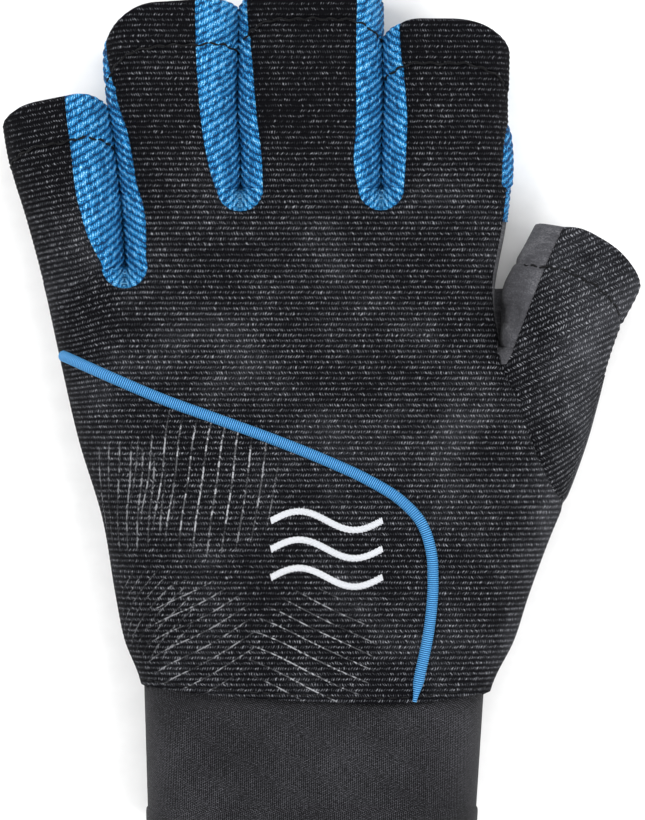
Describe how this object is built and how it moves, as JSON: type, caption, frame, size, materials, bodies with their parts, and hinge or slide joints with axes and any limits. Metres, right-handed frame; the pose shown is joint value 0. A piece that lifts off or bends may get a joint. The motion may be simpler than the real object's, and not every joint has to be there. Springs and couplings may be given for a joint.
{
  "type": "half-finger sailing glove",
  "caption": "Left-hand half-finger glove: knit back, suede palm, gusseted open finger stalls that bend, and an elastic wrist cuff.",
  "frame": {"origin": "on the floor under the centre of the glove's box, under the flat of the palm", "axes": "+X towards the thumb side, +Y towards the fingertips, +Z out of the back of the hand; the glove lies palm down"},
  "size_m": [0.1384, 0.1844, 0.0269],
  "materials": {
    "black_knit": "ribbed stretch knit",
    "printed_knit": "ribbed knit with a fine silver line print",
    "blue_knit": "chunky ribbed stretch knit",
    "blue_piping": "ribbed elastic tube",
    "grey_suede": "synthetic suede",
    "grip_suede": "double layer of synthetic suede",
    "cuff_jersey": "smooth jersey over thin foam",
    "stitch_thread": "polyester thread",
    "white_thread": "satin stitched thread"
  },
  "bodies": {
    "hand": {"back_panel": "black_knit", "back_piping": "blue_piping", "cuff": "cuff_jersey", "cuff_hem": "cuff_jersey", "emblem_embroidery": "white_thread", "fourchette_middle_index": "blue_knit", "fourchette_pinky_ring": "blue_knit", "fourchette_ring_middle": "blue_knit", "heel_patch": "grip_suede", "index_side_gusset": "grey_suede", "lower_back_panel": "printed_knit", "palm_grip_patch": "grip_suede", "palm_panel": "grey_suede", "thumb_gusset_back": "black_knit", "thumb_gusset_palm": "grey_suede", "wrist_seam_stitching": "stitch_thread"},
    "pinky": {"pinky_back": "black_knit", "pinky_hem_stitching": "stitch_thread", "pinky_inner_wall": "blue_knit", "pinky_palm": "grey_suede"},
    "ring": {"ring_back": "black_knit", "ring_hem_stitching": "stitch_thread", "ring_inner_wall": "blue_knit", "ring_outer_wall": "blue_knit", "ring_palm": "grey_suede"},
    "middle": {"middle_back": "black_knit", "middle_hem_stitching": "stitch_thread", "middle_inner_wall": "blue_knit", "middle_outer_wall": "blue_knit", "middle_palm": "grey_suede"},
    "index": {"index_back": "black_knit", "index_hem_stitching": "stitch_thread", "index_inner_wall": "blue_knit", "index_outer_wall": "blue_knit", "index_palm": "grey_suede"},
    "thumb": {"thumb_back": "black_knit", "thumb_hem_stitching": "stitch_thread", "thumb_palm": "grey_suede"}
  },
  "joints": [
    {"name": "pinky_flex", "type": "hinge", "parent": "hand", "child": "pinky", "pos_m": [-0.05326, 0.03503, 0.01], "axis": [-0.9806, -0.1959, 0], "range_deg": [-15, 75]},
    {"name": "ring_flex", "type": "hinge", "parent": "hand", "child": "ring", "pos_m": [-0.03095, 0.05298, 0.01], "axis": [-0.9981, -0.061, 0], "range_deg": [-15, 75]},
    {"name": "middle_flex", "type": "hinge", "parent": "hand", "child": "middle", "pos_m": [-0.0023, 0.053, 0.01], "axis": [-1, 0, 0], "range_deg": [-15, 75]},
    {"name": "index_flex", "type": "hinge", "parent": "hand", "child": "index", "pos_m": [0.0268, 0.053, 0.01], "axis": [-1, 0, 0], "range_deg": [-15, 75]},
    {"name": "thumb_flex", "type": "hinge", "parent": "hand", "child": "thumb", "pos_m": [0.05208, 0.01415, 0.01], "axis": [-0.9613, 0.2756, 0], "range_deg": [-10, 55]}
  ]
}
